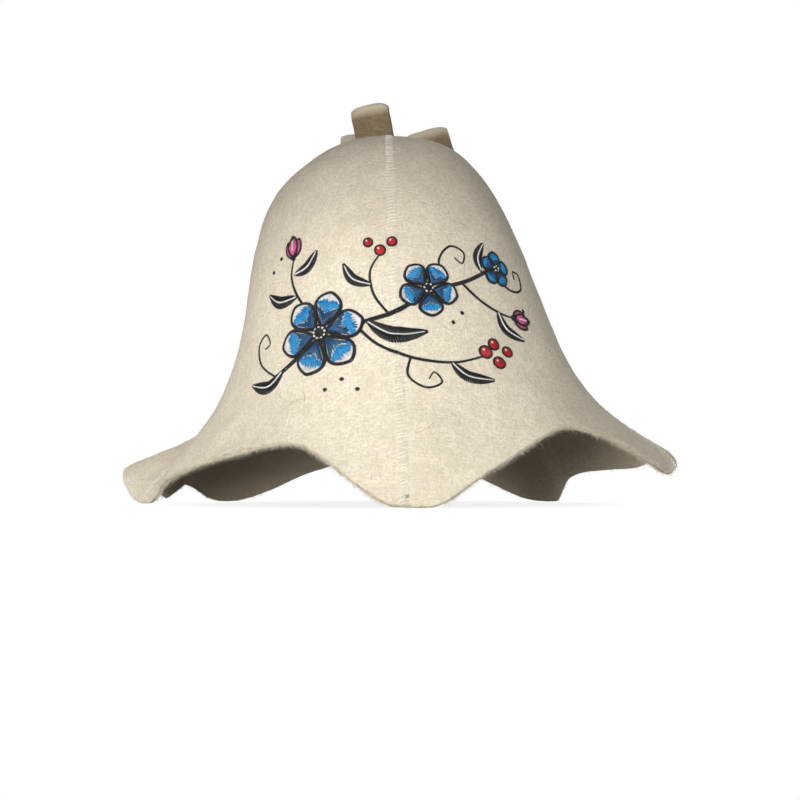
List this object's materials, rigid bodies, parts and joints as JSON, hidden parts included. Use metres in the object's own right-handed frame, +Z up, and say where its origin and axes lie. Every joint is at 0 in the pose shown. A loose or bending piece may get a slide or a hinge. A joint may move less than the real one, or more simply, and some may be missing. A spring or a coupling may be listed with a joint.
{
  "type": "sauna hat",
  "caption": "Bell-shaped sauna hat of thick pale wool felt, with a wavy flared brim and three folded felt loops sewn on at the apex.",
  "frame": {"origin": "middle of the hat's outline on the surface that it rests on", "axes": "+Z up through the crown, -Y towards the front seam, +X towards the hat's left-hand brim tongue as worn, which is on the right in a front view"},
  "size_m": [0.379, 0.3128, 0.2735],
  "materials": {
    "felt": "matt, fuzzy",
    "loop_felt": "matt, fuzzy",
    "seam_thread": "soft thread",
    "embroidery": "lustrous thread"
  },
  "bodies": {
    "root": {"gore_front_left": "felt", "gore_front_right": "felt", "gore_back_right": "felt", "gore_back_left": "felt", "loop_upright": "loop_felt", "loop_right": "loop_felt", "loop_left": "loop_felt"}
  },
  "joints": []
}
